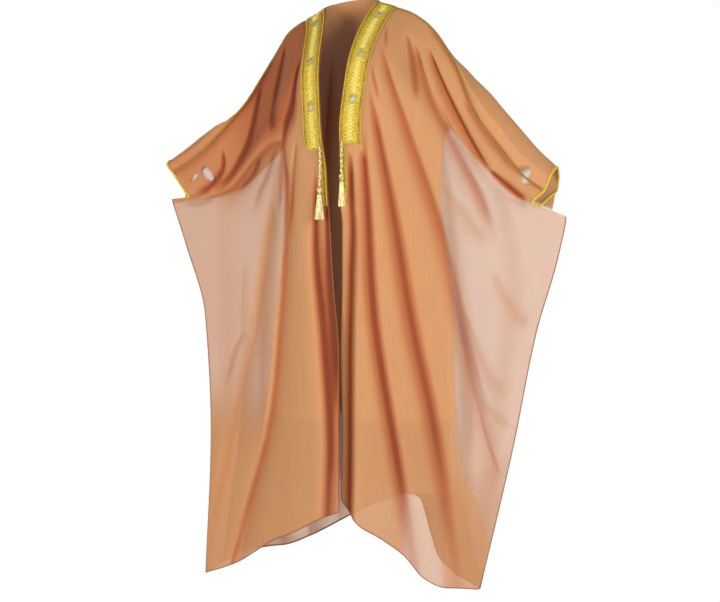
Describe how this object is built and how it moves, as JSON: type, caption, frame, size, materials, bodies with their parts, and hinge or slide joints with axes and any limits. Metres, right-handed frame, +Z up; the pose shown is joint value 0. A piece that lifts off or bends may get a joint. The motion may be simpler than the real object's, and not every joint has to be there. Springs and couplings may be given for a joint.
{
  "type": "bisht cloak",
  "caption": "Sheer open-front bisht cloak worn with both arms held out, with gold bands at neck and front, corded shoulder seams and cuffs, and tasselled ties.",
  "frame": {"origin": "middle of the neck base, level with the tops of the shoulders that hold the cloak up", "axes": "+Z up, the wearer faces -Y, the wearer's left is +X"},
  "size_m": [1.0605, 0.3306, 1.498],
  "materials": {
    "chiffon": "sheer matte crepe",
    "zari": "woven gold thread",
    "gold_cord": "twisted gold thread",
    "tassel": "loose pale gold strands"
  },
  "bodies": {
    "root": {"back": "chiffon", "band_left": "zari", "band_neck": "zari", "band_right": "zari", "cuff_cord_left": "gold_cord", "cuff_cord_right": "gold_cord", "edging_left": "zari", "edging_right": "zari", "front_left": "chiffon", "front_right": "chiffon", "shoulder_cord_left": "gold_cord", "shoulder_cord_right": "gold_cord", "tassel_left": "tassel", "tassel_right": "tassel", "tie_left": "gold_cord", "tie_right": "gold_cord"}
  },
  "joints": []
}
